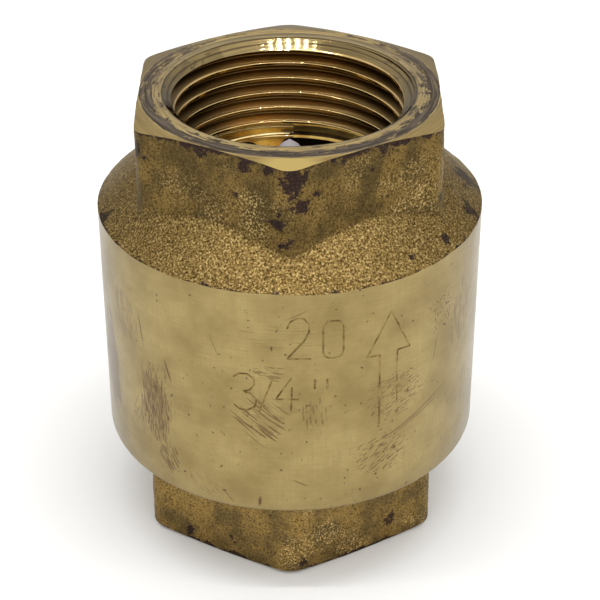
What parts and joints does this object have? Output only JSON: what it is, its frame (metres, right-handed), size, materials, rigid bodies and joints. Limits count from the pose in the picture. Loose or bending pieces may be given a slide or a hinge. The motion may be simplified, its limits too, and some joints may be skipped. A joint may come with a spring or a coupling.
{
  "type": "vertical check valve",
  "caption": "Spring-loaded brass check valve: hexagon ends with threaded sockets, a turned barrel, and a poppet on a spring under a ribbed guide.",
  "frame": {"origin": "centre of the inlet face, on which the valve stands", "axes": "+Z along the valve's axis in the direction of flow, from inlet to outlet; a hexagon corner points to -Y, the side seen in the picture"},
  "size_m": [0.0416, 0.0416, 0.051],
  "materials": {
    "body_brass": "forged grain on hexagon and shoulder, satin turned barrel with scratches, tarnish spots",
    "end_brass": "forged grain, dull, tarnished",
    "turned_brass": "turned, satin",
    "grey_acetal": "moulded, matte",
    "nitrile_rubber": "moulded, matte black",
    "stainless_steel": "drawn wire, satin"
  },
  "bodies": {
    "valve_body": {"body": "body_brass", "end_connection": "end_brass", "joint_o_ring": "nitrile_rubber", "spring": "stainless_steel"},
    "closing_piece": {"poppet": "grey_acetal", "seat_seal": "nitrile_rubber", "seal_plate": "turned_brass", "plate_screw": "stainless_steel"}
  },
  "joints": [
    {"name": "poppet_lift", "type": "slide", "parent": "valve_body", "child": "closing_piece", "axis": [0, 0, 1], "range_m": [0, 0.005], "stiffness_N_per_m": 290, "springref_m": -0.004, "deforming": ["spring"]}
  ]
}
